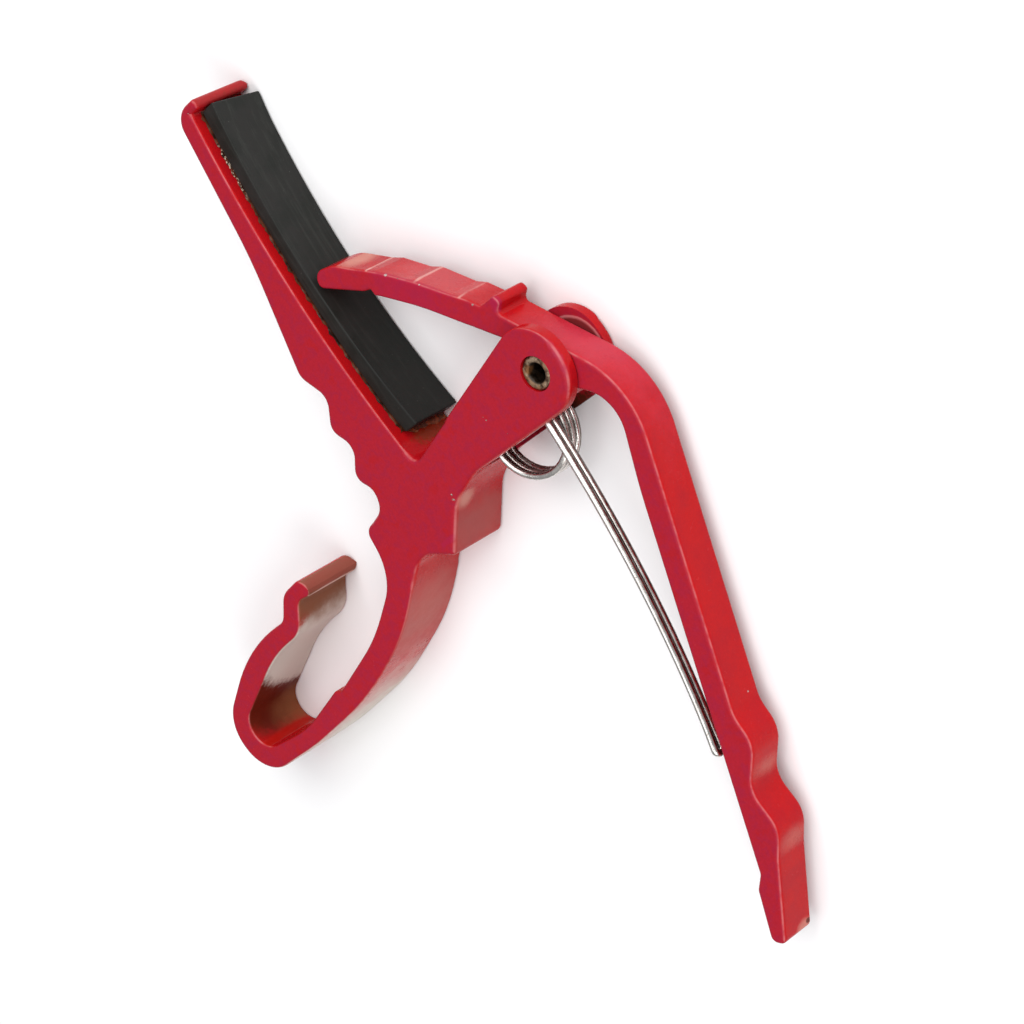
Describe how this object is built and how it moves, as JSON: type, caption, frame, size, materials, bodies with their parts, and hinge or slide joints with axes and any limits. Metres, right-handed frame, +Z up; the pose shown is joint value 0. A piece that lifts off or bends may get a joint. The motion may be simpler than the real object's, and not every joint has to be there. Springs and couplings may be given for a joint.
{
  "type": "guitar capo",
  "caption": "Red quick-change guitar capo with a rubber string pad, a sprung lever and a bridge-pin puller hook, lying on its side.",
  "frame": {"origin": "centre of the footprint, on the surface the capo lies on", "axes": "+X along the string pad towards the handle's free end, +Y from the pad towards the lever, +Z up through the 12.5 mm width, along the pivot pin"},
  "size_m": [0.1634, 0.1206, 0.0125],
  "materials": {
    "red_enamel": "satin red coating on a die-cast alloy, worn on the inner faces of the hook",
    "bare_steel": "turned steel with grey-brown residue",
    "black_rubber": "matte",
    "amber_glue": "dried amber contact adhesive",
    "bright_nickel": "bright nickel-plated spring wire"
  },
  "bodies": {
    "body": {"capo_body": "red_enamel", "pivot_pin": "bare_steel", "string_pad": "black_rubber", "pad_adhesive": "amber_glue", "spring_coil_front": "bright_nickel", "spring_coil_rear": "bright_nickel"},
    "lever": {"lever": "red_enamel"},
    "spring_leg": {"spring_leg": "bright_nickel"}
  },
  "joints": [
    {"name": "lever_pivot", "type": "hinge", "parent": "body", "child": "lever", "pos_m": [-0.01342, 0.04918, 0.00625], "axis": [0, 0, -1], "range_deg": [0, 35], "stiffness_Nm_per_rad": 0.6, "springref_deg": -57.3},
    {"name": "spring_flex", "type": "hinge", "parent": "body", "child": "spring_leg", "pos_m": [-0.00702, 0.03588, 0.00625], "axis": [0, 0, -1], "range_deg": [0, 44]}
  ],
  "couplings": [
    {"joint": "spring_flex", "follows": "lever_pivot", "ratio": 1.25}
  ]
}
